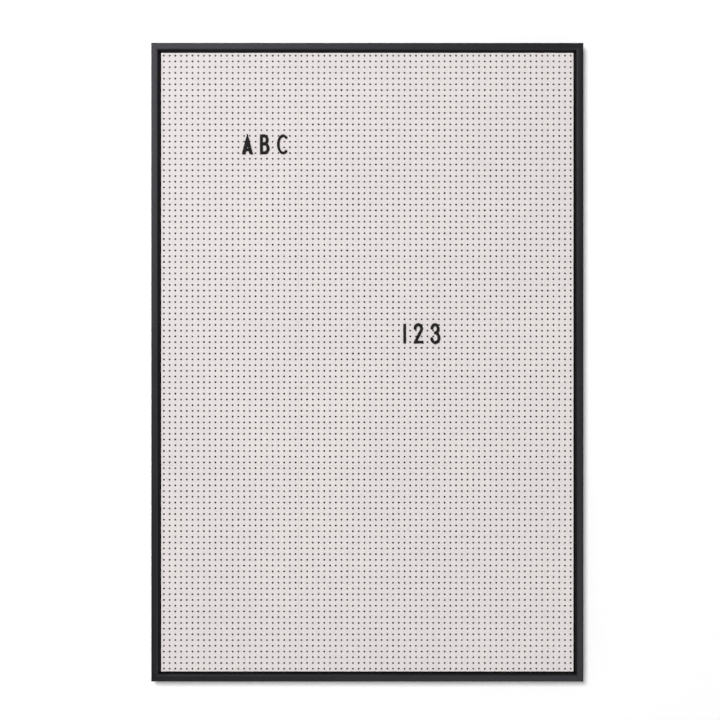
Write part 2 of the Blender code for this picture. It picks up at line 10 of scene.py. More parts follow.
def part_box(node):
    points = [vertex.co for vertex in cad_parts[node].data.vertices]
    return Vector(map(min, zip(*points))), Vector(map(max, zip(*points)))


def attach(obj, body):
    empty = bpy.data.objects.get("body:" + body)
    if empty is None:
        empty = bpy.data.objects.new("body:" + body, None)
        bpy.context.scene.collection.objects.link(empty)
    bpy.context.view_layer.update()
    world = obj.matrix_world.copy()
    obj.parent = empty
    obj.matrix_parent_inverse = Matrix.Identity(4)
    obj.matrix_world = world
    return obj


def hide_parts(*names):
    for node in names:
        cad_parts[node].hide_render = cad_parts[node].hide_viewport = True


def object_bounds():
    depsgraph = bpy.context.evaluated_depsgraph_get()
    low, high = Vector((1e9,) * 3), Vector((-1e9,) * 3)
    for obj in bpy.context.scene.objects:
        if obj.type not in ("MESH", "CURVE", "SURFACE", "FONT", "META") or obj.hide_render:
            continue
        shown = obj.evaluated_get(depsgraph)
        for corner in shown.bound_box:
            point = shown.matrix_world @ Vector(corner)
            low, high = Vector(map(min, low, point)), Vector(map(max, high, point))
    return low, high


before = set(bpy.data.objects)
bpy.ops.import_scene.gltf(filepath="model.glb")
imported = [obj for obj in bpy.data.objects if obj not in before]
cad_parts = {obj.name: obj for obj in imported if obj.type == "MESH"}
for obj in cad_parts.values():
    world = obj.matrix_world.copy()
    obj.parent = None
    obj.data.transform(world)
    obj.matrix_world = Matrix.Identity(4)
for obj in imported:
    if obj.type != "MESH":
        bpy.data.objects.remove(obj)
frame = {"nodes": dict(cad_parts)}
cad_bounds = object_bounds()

bl_info = {
    "name": "Perforated letter board",
    "version": (1, 0, 0),
    "blender": (4, 5, 0),
    "location": "View3D > Sidebar > Letter board",
    "description": "Builds the finished pieces of a perforated peg letter board and its stage",
    "category": "Object",
}

BODY = "root"

ROW_NAMES = ("top", "middle", "bottom")
COLUMN_NAMES = ("left", "centre", "right")
RAILS = ("frame_rail_top", "frame_rail_bottom", "frame_stile_left", "frame_stile_right")
CORNERS = ("top_left", "top_right", "bottom_left", "bottom_right")
SIDES = ("left", "bottom", "right", "top")

# Distances that count as none: for choosing, and for merging the points of tiles, nodes and outlines
EPSILON = 0.00002
TILE_MERGE = 0.00001
NODE_MERGE = 0.000005
OUTLINE_MERGE = 0.000002

# Angles between two faces: a flat face, a soft edge, an edge to round, a corner of an outline to round
FLAT_ANGLE = math.radians(0.6)
SOFT_ANGLE = math.radians(35)
EDGE_ANGLE = math.radians(40)
CORNER_ANGLE = math.radians(50)
QUARTER_TURN = math.radians(90)

# An edge runs along an axis if this share of its length does
ALONG_AXIS = 0.99

# Steps that round an edge
EDGE_STEPS = 2


# Sizes and colours that a user would change

def length(name, description, default):
    """A length in metres."""
    return FloatProperty(name=name, description=description, default=default, min=0.0,
                         precision=5, subtype="DISTANCE", unit="LENGTH")


def position(name, description, default):
    """A place or an offset in metres."""
    return FloatVectorProperty(name=name, description=description, default=default,
                               size=len(default), subtype="TRANSLATION", unit="LENGTH")


def colour(name, description, default):
    """A linear colour."""
    return FloatVectorProperty(name=name, description=description, default=default, size=3,
                               min=0.0, max=1.0, subtype="COLOR")


def share(name, description, default):
    """A plain number from 0 to 1."""
    return FloatProperty(name=name, description=description, default=default, min=0.0, max=1.0,
                         subtype="FACTOR")


def power(name, description, default):
    """Power of a lamp in watts."""
    return FloatProperty(name=name, description=description, default=default, min=0.0, unit="POWER")


def count(name, description, default, least, step=1):
    """A whole number."""
    return IntProperty(name=name, description=description, default=default, min=least, step=step)


class TileSettings(bpy.types.PropertyGroup):
    """Moulded perforated tiles."""
    pitch: length("Hole pitch", "Distance from one hole to the next", 0.0055)
    columns: count("Columns", "Holes across one tile", 24, 2)
    rows: count("Rows", "Holes up one tile", 36, 2)
    hole_radius: length("Hole radius", "Radius of a peg hole", 0.00094)
    hole_sides: count("Hole sides", "Flats around a hole, in eights", 16, 8, 8)
    face: length("Face thickness", "Thickness of the perforated face", 0.0022)
    hollow: length("Hollow depth", "Depth of the rim behind the face", 0.0028)
    rim: length("Rim thickness", "Thickness of the wall around a tile", 0.0016)
    gap: length("Seam", "Gap between two tiles", 0.00003)
    border: length("Border", "How much the outer sides of the outer tiles are cut back", 0.00015)
    edge_round: length("Edge round", "Rounding of a tile's front edge", 0.00007)
    tab_side: length("Tab side", "Side of a snap tab", 0.0030)
    tab_inset: count("Tab inset", "Holes from a snap tab to the tile's edges", 5, 1)
    tint: colour("Colour", "Warm pale grey of the plastic", (0.745, 0.690, 0.682))
    roughness: share("Roughness", "Roughness of the moulded face", 0.52)


class FrameSettings(bpy.types.PropertyGroup):
    """Black aluminium frame."""
    edge_round: length("Edge softness", "Rounding of the extrusion's edges", 0.00012)
    mitre_close: length("Mitre closing", "How far a mitred end is drawn out to close the joint", 0.00017)
    mitre_reach: length("Mitre reach", "Length at each end of a side that holds its mitre", 0.03)
    tint: colour("Colour", "Satin black coating", (0.0085, 0.0080, 0.0087))
    roughness: share("Roughness", "Roughness of the coating", 0.33)


class CharacterSettings(bpy.types.PropertyGroup):
    """Letters and digits."""
    stroke: length("Stroke", "Width of a letter's stroke", 0.0028)
    cap_height: length("Height", "Height of a flat-topped letter", 0.0190)
    overshoot: length("Overshoot", "How far round and pointed shapes reach past flat ones", 0.0005)
    thickness: length("Thickness", "Thickness of a character", 0.0018)
    pin_radius: length("Pin radius", "Radius of the pins behind a character", 0.0005)
    edge_round: length("Edge round", "Rounding of a character's edges", 0.00022)
    tint: colour("Colour", "Black plastic", (0.0060, 0.0032, 0.0050))
    roughness: share("Roughness", "Roughness of the plastic", 0.58)


class HardwareSettings(bpy.types.PropertyGroup):
    """Back board, keys, hangers, screws and bumpers."""
    edge_round: length("Edge softness", "Rounding of sheet metal edges", 0.00015)
    turned_sides: count("Turned sides", "Flats around a screw or bumper", 40, 12)
    head_radius: length("Head radius", "Radius of a panel screw's head", 0.0024)
    head_height: length("Head height", "Height of a panel screw's head", 0.0013)
    head_edge: length("Head edge", "Upright edge of a panel screw's head", 0.0005)
    shank_radius: length("Shank radius", "Radius of a panel screw's shank", 0.0011)
    point: length("Point", "Length of a panel screw's point", 0.0008)
    cross_length: length("Cross length", "Length of the cross recess", 0.0027)
    cross_width: length("Cross width", "Width of the cross recess", 0.00055)
    cross_depth: length("Cross depth", "Depth of the cross recess", 0.0009)
    set_radius: length("Set screw radius", "Radius of a set screw", 0.0017)
    socket_radius: length("Socket radius", "Corner radius of a set screw's hexagon", 0.00092)
    socket_depth: length("Socket depth", "Depth of a set screw's hexagon", 0.0015)
    bumper_radius: length("Bumper radius", "Radius of a bumper", 0.0065)
    bumper_round: length("Bumper round", "Rounding of a bumper's rim", 0.0007)
    zinc: colour("Zinc", "Colour of the plated steel", (0.56, 0.57, 0.59))
    board: colour("Back board", "Black hardboard", (0.012, 0.0115, 0.012))
    rubber: colour("Rubber", "Colour of the bumpers", (0.02, 0.02, 0.021))


class StageSettings(bpy.types.PropertyGroup):
    """Wall, floor, light and camera."""
    view_width: length("View width", "Width that the picture shows at the board", 0.6900)
    focal_length: FloatProperty(name="Focal length", description="Lens in millimetres",
                                default=100.0, min=20.0, subtype="DISTANCE_CAMERA")
    off_centre: position("Off centre", "Camera right and up of the board's centre", (-0.0070, 0.0021))
    floor_drop: length("Floor", "Floor below the board's centre", 1.1)
    reach: length("Stage size", "Half width of wall and floor", 4.0)
    cove: length("Cove", "Radius between wall and floor", 0.4)
    key_power: power("Key power", "Soft key light", 144.0)
    key_size: length("Key size", "Side of the soft key light", 1.02)
    key_place: position("Key place", "Where the key light stands", (-0.735, -4.0, 0.92))
    sheen_power: power("Sheen power", "Card whose reflection brightens the lower right", 40.0)
    sheen_size: length("Sheen size", "Side of the reflected card", 0.83)
    sheen_place: position("Sheen place", "Where the reflected card stands", (0.60, -3.25, -0.85))
    back_power: power("Back power", "Light behind the wall, for views from behind", 60.0)
    back_size: length("Back size", "Side of the light behind the wall", 1.2)
    back_place: position("Back place", "Where the light behind the wall stands", (0.9, 2.4, 1.3))
    fill: share("Fill", "Strength of the light from all around", 0.12)


class LetterBoardSettings(bpy.types.PropertyGroup):
    """All settings of the letter board."""
    tile: PointerProperty(type=TileSettings)
    frame: PointerProperty(type=FrameSettings)
    character: PointerProperty(type=CharacterSettings)
    hardware: PointerProperty(type=HardwareSettings)
    stage: PointerProperty(type=StageSettings)


# Small tools for modelling

def deselect():
    """Leave nothing selected."""
    bpy.ops.object.select_all(action="DESELECT")


def pick(piece):
    """Select one object alone and make it active."""
    deselect()
    piece.select_set(True)
    bpy.context.view_layer.objects.active = piece


def edit(piece):
    """Enter edit mode on one object."""
    pick(piece)
    bpy.ops.object.mode_set(mode="EDIT")
    bpy.ops.mesh.select_mode(type="VERT")


def leave():
    """Return to object mode."""
    bpy.ops.object.mode_set(mode="OBJECT")


def choose_all():
    """In edit mode, select everything."""
    bpy.ops.mesh.select_all(action="SELECT")


def choose(piece, test):
    """In edit mode, select the vertices whose place passes a test."""
    bpy.ops.mesh.select_all(action="DESELECT")
    form = bmesh.from_edit_mesh(piece.data)
    for vertex in form.verts:
        vertex.select = test(vertex.co)
    form.select_flush(True)
    bmesh.update_edit_mesh(piece.data)


def choose_long_edges(piece, axis):
    """In edit mode, select the sharp edges that run along one axis."""
    bpy.ops.mesh.select_mode(type="EDGE")
    bpy.ops.mesh.select_all(action="DESELECT")
    form = bmesh.from_edit_mesh(piece.data)
    for edge in form.edges:
        direction = (edge.verts[1].co - edge.verts[0].co).normalized()
        sharp = edge.is_manifold and edge.calc_face_angle() > EDGE_ANGLE
        edge.select = sharp and abs(direction[axis]) > ALONG_AXIS
    bmesh.update_edit_mesh(piece.data)


def extrude(z):
    """Extrude the selected edges or faces upwards, or downwards if z is below 0."""
    bpy.ops.mesh.extrude_region_move(TRANSFORM_OT_translate={"value": (0, 0, z)})


def along(axis, distance):
    """An offset along one axis."""
    offset = [0.0, 0.0, 0.0]
    offset[axis] = distance
    return offset


def slide(axis, distance):
    """Move what is selected along one axis."""
    bpy.ops.transform.translate(value=along(axis, distance))


def apply(piece, kind, **values):
    """Add a modifier, set it up and apply it."""
    modifier = piece.modifiers.new(kind.lower(), kind)
    for key, value in values.items():
        setattr(modifier, key, value)
    pick(piece)
    bpy.ops.object.modifier_apply(modifier=modifier.name)


def settle(piece):
    """Put a piece's place into its mesh."""
    pick(piece)
    bpy.ops.object.transform_apply(location=True, rotation=True, scale=True)


def smooth(piece, angle=SOFT_ANGLE):
    """Shade smooth across soft edges only, and keep wide faces flat."""
    pick(piece)
    bpy.ops.object.shade_smooth_by_angle(angle=angle)
    apply(piece, "WEIGHTED_NORMAL", mode="FACE_AREA", weight=100, keep_sharp=True)


def soften(piece, width, angle=EDGE_ANGLE, steps=EDGE_STEPS):
    """Round every edge that is sharper than an angle."""
    apply(piece, "BEVEL", width=width, segments=steps, limit_method="ANGLE", angle_limit=angle,
          use_clamp_overlap=True)


def combine(piece, operation, tool):
    """Cut a piece with a tool or join the tool to it, and remove the tool."""
    apply(piece, "BOOLEAN", operation=operation, object=tool, solver="EXACT")
    bpy.data.objects.remove(tool, do_unlink=True)


def front_of(node):
    """Middle of the front side of a node's box."""
    low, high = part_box(node)
    return Vector(((low.x + high.x) / 2, low.y, (low.z + high.z) / 2))


def half_field(tile):
    """Half the width and half the height of the whole field of holes."""
    return (len(COLUMN_NAMES) * tile.columns * tile.pitch / 2,
            len(ROW_NAMES) * tile.rows * tile.pitch / 2)


def block(size, place):
    """A box of a given size about a place."""
    deselect()
    bpy.ops.mesh.primitive_cube_add(size=1, location=place, scale=size)
    piece = bpy.context.active_object
    settle(piece)
    return piece


def raised(rings, sides):
    """A round piece, drawn up about z through rings of (radius, height) from its foot to its top."""
    deselect()
    radius, height = rings[0]
    bpy.ops.mesh.primitive_circle_add(vertices=sides, radius=radius, fill_type="NGON",
                                      location=(0, 0, height))
    piece = bpy.context.active_object
    settle(piece)
    edit(piece)
    choose_all()
    for wider, higher in rings[1:]:
        extrude(z=higher - height)
        bpy.ops.transform.resize(value=(wider / radius, wider / radius, 1))
        radius = wider
        height = higher
    choose_all()
    bpy.ops.mesh.normals_make_consistent(inside=False)
    leave()
    return piece


def stand_in(piece, node, material):
    """Let a finished piece take the place of a node."""
    piece.name = f"{node}_finish"
    piece.data.name = piece.name
    piece.data.materials.clear()
    piece.data.materials.append(material)
    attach(piece, BODY)
    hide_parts(node)


def copy_to(first, node, place, material):
    """Set a copy of a finished piece in the place of a node."""
    piece = bpy.data.objects.new(node, first.data.copy())
    bpy.context.scene.collection.objects.link(piece)
    piece.data.transform(Matrix.Translation(place))
    stand_in(piece, node, material)


def copy_of_node(node):
    """Copy a node's mesh as whole faces instead of loose triangles."""
    source = frame["nodes"][node]
    piece = bpy.data.objects.new(f"{node}_copy", source.data.copy())
    bpy.context.scene.collection.objects.link(piece)
    edit(piece)
    choose_all()
    bpy.ops.mesh.remove_doubles(threshold=NODE_MERGE)
    bpy.ops.mesh.dissolve_limited(angle_limit=FLAT_ANGLE)
    leave()
    return piece


def soften_node(node, edge_round, material):
    """Copy a node, round its sharp edges a little and let the copy take its place."""
    piece = copy_of_node(node)
    soften(piece, edge_round)
    smooth(piece)
    stand_in(piece, node, material)


# Materials

# Height of the finest grain
FINE_GRAIN = 0.00003


class Shader:
    """A node material with short calls for the nodes that are used here."""

    def __init__(self, name):
        self.material = bpy.data.materials.new(name)
        self.material.use_nodes = True
        self.tree = self.material.node_tree
        self.principled = self.tree.nodes["Principled BSDF"]
        self.place = self.tree.nodes.new("ShaderNodeTexCoord").outputs["Object"]

    def link(self, source, target):
        """Join two sockets."""
        self.tree.links.new(source, target)

    def set(self, **values):
        """Set plain values on the shader's own sockets."""
        for key, value in values.items():
            socket = self.principled.inputs[key.replace("_", " ")]
            socket.default_value = (*value, 1.0) if hasattr(value, "__len__") else value

    def stretched(self, scale):
        """Object coordinates, drawn out along the axes whose scale is small."""
        node = self.tree.nodes.new("ShaderNodeMapping")
        node.inputs["Scale"].default_value = scale
        self.link(self.place, node.inputs["Vector"])
        return node.outputs["Vector"]

    def noise(self, scale, detail=2.0, roughness=0.5, vector=None):
        """Soft noise from 0 to 1."""
        node = self.tree.nodes.new("ShaderNodeTexNoise")
        node.inputs["Scale"].default_value = scale
        node.inputs["Detail"].default_value = detail
        node.inputs["Roughness"].default_value = roughness
        self.link(vector or self.place, node.inputs["Vector"])
        return node.outputs["Fac"]

    def ramp(self, value, low, high, out_low=0.0, out_high=1.0):
        """Map a range of one value to another range."""
        node = self.tree.nodes.new("ShaderNodeMapRange")
        ends = {"From Min": low, "From Max": high, "To Min": out_low, "To Max": out_high}
        for key, number in ends.items():
            node.inputs[key].default_value = number
        self.link(value, node.inputs["Value"])
        return node.outputs["Result"]

    def maths(self, operation, first, second):
        """One sum of two values, each a socket or a number."""
        node = self.tree.nodes.new("ShaderNodeMath")
        node.operation = operation
        for index, value in enumerate((first, second)):
            if isinstance(value, (int, float)):
                node.inputs[index].default_value = value
            else:
                self.link(value, node.inputs[index])
        return node.outputs["Value"]

    def blend(self, factor, first, second):
        """Mix of two colours by a value."""
        node = self.tree.nodes.new("ShaderNodeMix")
        node.data_type = "RGBA"
        node.clamp_factor = True
        for key, value in (("A", first), ("B", second)):
            socket = [item for item in node.inputs if item.name == key and item.type == "RGBA"][0]
            if hasattr(value, "__len__"):
                socket.default_value = (*value[:3], 1.0)
            else:
                self.link(value, socket)
        self.link(factor, node.inputs["Factor"])
        return [item for item in node.outputs if item.type == "RGBA"][0]

    def toned(self, noise, tint, first, second, low=0.3, high=0.7):
        """A tint between two strengths of itself, as a noise rises from low to high."""
        return self.blend(self.ramp(noise, low, high), scaled(tint, first), scaled(tint, second))

    def varied(self, noise, middle, below, above, low=0.3, high=0.7):
        """A value about its middle, as a noise rises from low to high."""
        return self.ramp(noise, low, high, middle - below, middle + above)

    def bump(self, height, strength, distance, onto=None):
        """Bump from a height, on top of another bump."""
        node = self.tree.nodes.new("ShaderNodeBump")
        node.inputs["Strength"].default_value = strength
        node.inputs["Distance"].default_value = distance
        self.link(height, node.inputs["Height"])
        if onto is not None:
            self.link(onto, node.inputs["Normal"])
        return node.outputs["Normal"]

    def finish(self, base, rough, normal):
        """Join colour, roughness and bump to the shader."""
        for key, value in (("Base Color", base), ("Roughness", rough), ("Normal", normal)):
            self.link(value, self.principled.inputs[key])
        return self.material


def scaled(value, factor):
    """A colour made lighter or darker."""
    return tuple(min(1.0, channel * factor) for channel in value)


def tile_plastic(settings):
    """Moulded plastic: fine sparked grain, faint flow marks and specks."""
    shader = Shader("tile_plastic")
    tint = settings.tint
    flow = shader.noise(scale=9.0, detail=3.0, roughness=0.55)
    mottle = shader.noise(scale=260.0, detail=4.0, roughness=0.6)
    speck = shader.noise(scale=1500.0, detail=2.0, roughness=0.6)
    gloss = shader.noise(scale=700.0)
    grain = shader.noise(scale=2600.0, detail=3.0, roughness=0.6)
    ripple = shader.noise(scale=60.0)
    warm = scaled(tint, 1.03)
    cool = (tint[0] * 0.95, tint[1] * 0.955, tint[2] * 0.97)
    slow = shader.maths("MULTIPLY", flow, 0.35)
    fast = shader.maths("MULTIPLY", mottle, 0.65)
    base = shader.blend(shader.ramp(shader.maths("ADD", slow, fast), 0.35, 0.65), cool, warm)
    base = shader.blend(shader.ramp(speck, 0.66, 0.8, out_high=0.3), base, scaled(tint, 0.8))
    rough = shader.varied(gloss, settings.roughness, below=0.06, above=0.08)
    fine = shader.bump(grain, strength=0.35, distance=FINE_GRAIN)
    shader.set(Specular_IOR_Level=0.45)
    return shader.finish(base, rough, shader.bump(ripple, strength=0.15, distance=0.0002, onto=fine))


def frame_coating(settings):
    """Satin black coating on aluminium, with a fine even grain."""
    shader = Shader("frame_coating")
    cloud = shader.noise(scale=28.0, detail=3.0)
    grain = shader.noise(scale=1900.0, detail=3.0, roughness=0.65)
    base = shader.toned(cloud, settings.tint, 0.86, 1.16)
    rough = shader.varied(grain, settings.roughness, below=0.05, above=0.09, low=0.25, high=0.75)
    shader.set(Specular_IOR_Level=0.09, Specular_Tint=(0.92, 0.885, 1.0))
    return shader.finish(base, rough, shader.bump(grain, strength=0.3, distance=FINE_GRAIN))


def character_plastic(settings):
    """Black moulded plastic with a soft sheen and a few faint flow marks."""
    shader = Shader("character_plastic")
    flow = shader.noise(scale=420.0, detail=3.0)
    gloss = shader.noise(scale=1600.0)
    grain = shader.noise(scale=2400.0)
    base = shader.toned(flow, settings.tint, 0.85, 1.25)
    rough = shader.varied(gloss, settings.roughness, below=0.06, above=0.08)
    shader.set(Specular_IOR_Level=0.105)
    return shader.finish(base, rough, shader.bump(grain, strength=0.25, distance=FINE_GRAIN))


def hardboard(settings):
    """Black painted hardboard with short pressed fibres."""
    shader = Shader("hardboard")
    upright = shader.stretched((1.0, 1.0, 0.22))
    level = shader.stretched((0.25, 1.0, 1.0))
    fibre = shader.noise(scale=240.0, detail=5.0, roughness=0.7, vector=upright)
    cross = shader.noise(scale=300.0, detail=5.0, roughness=0.7, vector=level)
    both = shader.maths("MULTIPLY", fibre, cross)
    base = shader.toned(both, settings.board, 0.7, 1.9, low=0.15, high=0.4)
    rough = shader.ramp(both, 0.15, 0.4, out_low=0.78, out_high=0.92)
    return shader.finish(base, rough, shader.bump(both, strength=0.5, distance=0.00015))


def zinc_plate(settings):
    """Zinc plated steel with rolling lines and faint stains."""
    shader = Shader("zinc_plate")
    lengthwise = shader.stretched((0.06, 1.0, 1.0))
    rolling = shader.noise(scale=500.0, detail=3.0, roughness=0.6, vector=lengthwise)
    stain = shader.noise(scale=90.0, detail=4.0, roughness=0.6)
    base = shader.toned(stain, settings.zinc, 1.0, 0.78, low=0.35)
    rough = shader.ramp(rolling, 0.3, 0.7, out_low=0.28, out_high=0.42)
    shader.set(Metallic=1.0)
    return shader.finish(base, rough, shader.bump(rolling, strength=0.2, distance=FINE_GRAIN))


def bumper_rubber(settings):
    """Soft black rubber with a dusty bloom."""
    shader = Shader("bumper_rubber")
    bloom = shader.noise(scale=300.0, detail=4.0, roughness=0.6)
    base = shader.toned(bloom, settings.rubber, 1.0, 1.8, low=0.4, high=0.75)
    rough = shader.ramp(bloom, 0.3, 0.7, out_low=0.7, out_high=0.86)
    return shader.finish(base, rough, shader.bump(bloom, strength=0.2, distance=0.00005))


# Tiles

# Share of a snap tab's side that the slope of its tip takes
TAB_SLOPE = 1 / 6


def make_cell(size):
    """One hole with its square of plastic, drawn flat about the origin."""
    cuts = size.hole_sides // 4 - 1
    deselect()
    bpy.ops.mesh.primitive_plane_add(size=size.pitch)
    cell = bpy.context.active_object
    edit(cell)
    choose_all()
    bpy.ops.mesh.delete(type="ONLY_FACE")
    choose_all()
    bpy.ops.mesh.subdivide(number_cuts=cuts)
    bpy.ops.mesh.primitive_circle_add(vertices=size.hole_sides, radius=size.hole_radius)
    choose_all()
    bpy.ops.mesh.bridge_edge_loops()
    choose_all()
    bpy.ops.mesh.duplicate_move(TRANSFORM_OT_translate={"value": (0, 0, -size.face)})
    reach = size.hole_radius + EPSILON
    choose(cell, lambda place: math.hypot(place.x, place.y) < reach and place.z > -EPSILON)
    extrude(z=-size.face)
    choose_all()
    bpy.ops.mesh.remove_doubles(threshold=TILE_MERGE)
    leave()
    return cell


def draw_in(piece, half_x, half_y, level, distance):
    """Move each outer side of one level inwards."""
    for axis, half in ((0, half_x), (1, half_y)):
        for sign in (-1, 1):
            choose(piece, lambda place: place[axis] * sign > half - EPSILON
                   and abs(place.z - level) < EPSILON)
            slide(axis, -sign * distance)


def on_rim(half_x, half_y, level):
    """Test for the outer boundary at one level."""
    def test(place):
        outside = abs(place.x) > half_x - EPSILON or abs(place.y) > half_y - EPSILON
        return outside and abs(place.z - level) < EPSILON
    return test


def make_tile(size):
    """One whole tile, drawn flat about the origin with its face up."""
    half_x = size.columns * size.pitch / 2
    half_y = size.rows * size.pitch / 2
    tile = make_cell(size)
    tile.location = (size.pitch / 2 - half_x, size.pitch / 2 - half_y, 0)
    settle(tile)
    for axis, holes in ((0, size.columns), (1, size.rows)):
        apply(tile, "ARRAY", count=holes, use_relative_offset=False, use_constant_offset=True,
              constant_offset_displace=along(axis, size.pitch), use_merge_vertices=True,
              merge_threshold=TILE_MERGE)
    edit(tile)
    back = -size.face
    rear = -size.face - size.hollow
    seam = size.gap / 2
    draw_in(tile, half_x, half_y, 0.0, seam)
    draw_in(tile, half_x, half_y, back, seam + size.rim)
    choose(tile, on_rim(half_x - seam, half_y - seam, 0.0))
    extrude(z=rear)
    extrude(z=-size.rim)
    draw_in(tile, half_x - seam, half_y - seam, rear - size.rim, size.rim)
    choose(tile, lambda place: place.z < rear - EPSILON)
    bpy.ops.transform.translate(value=(0, 0, size.rim))
    extrude(z=size.hollow)
    choose_all()
    bpy.ops.mesh.remove_doubles(threshold=TILE_MERGE)
    choose(tile, on_rim(half_x - seam, half_y - seam, 0.0))
    bpy.ops.mesh.bevel(offset=size.edge_round, segments=EDGE_STEPS, affect="EDGES")
    choose_all()
    bpy.ops.mesh.normals_make_consistent(inside=False)
    leave()
    return tile


def add_tabs(tile, size, tip):
    """Join the two snap tabs, with blunt tips, to the underside of a tile that lies face up."""
    reach_x = (size.columns / 2 - size.tab_inset) * size.pitch
    reach_y = (size.rows / 2 - size.tab_inset) * size.pitch
    root = -size.face / 2
    for sign in (-1, 1):
        place = (sign * reach_x, -sign * reach_y, (root + tip) / 2)
        tab = block((size.tab_side, size.tab_side, root - tip), place)
        edit(tab)
        choose(tab, lambda place: place.z < tip + EPSILON)
        bpy.ops.mesh.bevel(offset=size.tab_side * TAB_SLOPE, segments=EDGE_STEPS, affect="EDGES")
        leave()
        combine(tile, "UNION", tab)


def trim_border(tile, size):
    """Draw in those sides of a tile that face the frame, with their rounded front edge."""
    half_x, half_z = half_field(size)
    depth = size.gap + 2 * size.edge_round
    edit(tile)
    for axis, half in ((0, half_x), (2, half_z)):
        for sign in (-1, 1):
            choose(tile, lambda place: place[axis] * sign > half - depth)
            slide(axis, -sign * size.border)
    leave()


class LETTERBOARD_OT_tiles(bpy.types.Operator):
    """Model one perforated tile and set it in all nine places"""
    bl_idname = "letterboard.tiles"
    bl_label = "Perforated tiles"

    def execute(self, context):
        size = context.scene.letter_board.tile
        material = tile_plastic(size)
        nodes = [f"tile_{row}_{column}" for row in ROW_NAMES for column in COLUMN_NAMES]
        low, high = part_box(nodes[0])
        first = make_tile(size)
        add_tabs(first, size, low.y - high.y)
        first.rotation_euler = (QUARTER_TURN, 0, 0)
        settle(first)
        smooth(first, EDGE_ANGLE)
        for node in nodes:
            copy_to(first, node, front_of(node), material)
        bpy.data.objects.remove(first, do_unlink=True)
        for node in nodes:
            trim_border(bpy.data.objects[f"{node}_finish"], size)
        return {"FINISHED"}


class LETTERBOARD_OT_frame(bpy.types.Operator):
    """Soften the long edges of the four frame sides, leave their mitres sharp, and coat them"""
    bl_idname = "letterboard.frame"
    bl_label = "Frame"

    def execute(self, context):
        size = context.scene.letter_board.frame
        material = frame_coating(size)
        for node in RAILS:
            rail = copy_of_node(node)
            axis = 2 if "stile" in node else 0
            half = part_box(node)[1][axis]
            edit(rail)
            for sign in (-1, 1):
                choose(rail, lambda place: place[axis] * sign > half - size.mitre_reach)
                slide(axis, sign * size.mitre_close)
            choose_long_edges(rail, axis)
            bpy.ops.mesh.bevel(offset=size.edge_round, segments=EDGE_STEPS, affect="EDGES")
            leave()
            smooth(rail)
            stand_in(rail, node, material)
        return {"FINISHED"}


# Letters and digits, each drawn flat about its own place on the peg grid

# Lighter and heavier strokes, as shares of the plain stroke
LIGHT_STROKE = 0.88
SLANT_STROKE = 1.18
FOOT_STROKE = 0.93
ONE_STROKE = 0.94

# A: its middle, half its width at foot and apex, and the height of its bar
A_MIDDLE = 0.0005
A_HALF_FOOT = 0.0054
A_HALF_APEX = 0.0003
A_BAR_HEIGHT = 0.0030

# B: its left side, where its bowls begin, how far the waist is above the middle, and its widths
B_LEFT = -0.00125
B_TURN = 0.0041
B_WAIST = 0.0005
B_UPPER_WIDTH = 0.0083
B_LOWER_WIDTH = 0.0092
B_UPPER_END = -45
B_LOWER_START = 48

# C: its middle, the radius across, and the angle from level to the ends of its mouth
C_MIDDLE = -0.0010
C_RADIUS = 0.0047
C_MOUTH = 52

# 1: the radius of its corners
ONE_CORNER = 0.0006

# 2: middle and radii of its bow, its width, the angles of the bow, its neck and its foot
TWO_MIDDLE = 0.0021
TWO_RADII = (0.0031, 0.0039)
TWO_WIDTH = 0.0094
TWO_START = 178
TWO_END = -24
TWO_NECK = 0.0012
TWO_FOOT_JOIN = 1.32

# 3: middles and radii of its bowls, the angles where they end, and the place of the waist
THREE_UPPER_MIDDLE = 0.0017
THREE_UPPER_RADII = (0.0030, 0.0040)
THREE_LOWER_MIDDLE = 0.0019
THREE_LOWER_RADII = (0.0035, 0.0046)
THREE_NOSE = 172
THREE_TAIL = -168
THREE_OUTER_WAIST = (-46, 50)
THREE_INNER_WAIST = (-78, 78)
THREE_WAIST = 0.0010

# Degrees in one step of an arc, the fewest steps, and what counts as straight in an outline
ARC_STEP = 6
ARC_FEWEST = 4
OUTLINE_FLAT = math.radians(0.4)

# Steps that round a character's edge, sides of a pin, and the share of its radius that its tip rounds
CHARACTER_STEPS = 3
PIN_SIDES = 16
PIN_TIP = 0.3


def arc(centre, radii, start, end):
    """Points along an elliptical arc, with its angles in degrees."""
    steps = max(ARC_FEWEST, round(abs(end - start) / ARC_STEP))
    points = []
    for index in range(steps + 1):
        angle = math.radians(start + (end - start) * index / steps)
        points.append((centre[0] + radii[0] * math.cos(angle),
                       centre[1] + radii[1] * math.sin(angle)))
    return points


def edges_of(centre, radii, start, end, width):
    """Outer and inner edge of a stroke that follows an arc."""
    outer = arc(centre, (radii[0] + width / 2, radii[1] + width / 2), start, end)
    inner = arc(centre, (radii[0] - width / 2, radii[1] - width / 2), start, end)
    return outer, inner


def halfway(first, second):
    """Point between two others."""
    return (first[0] + second[0]) / 2, (first[1] + second[1]) / 2


def round_end(centre, angle, width):
    """Half circle that closes a stroke, turning clockwise."""
    return arc(centre, (width / 2, width / 2), angle, angle - 180)[1:-1]


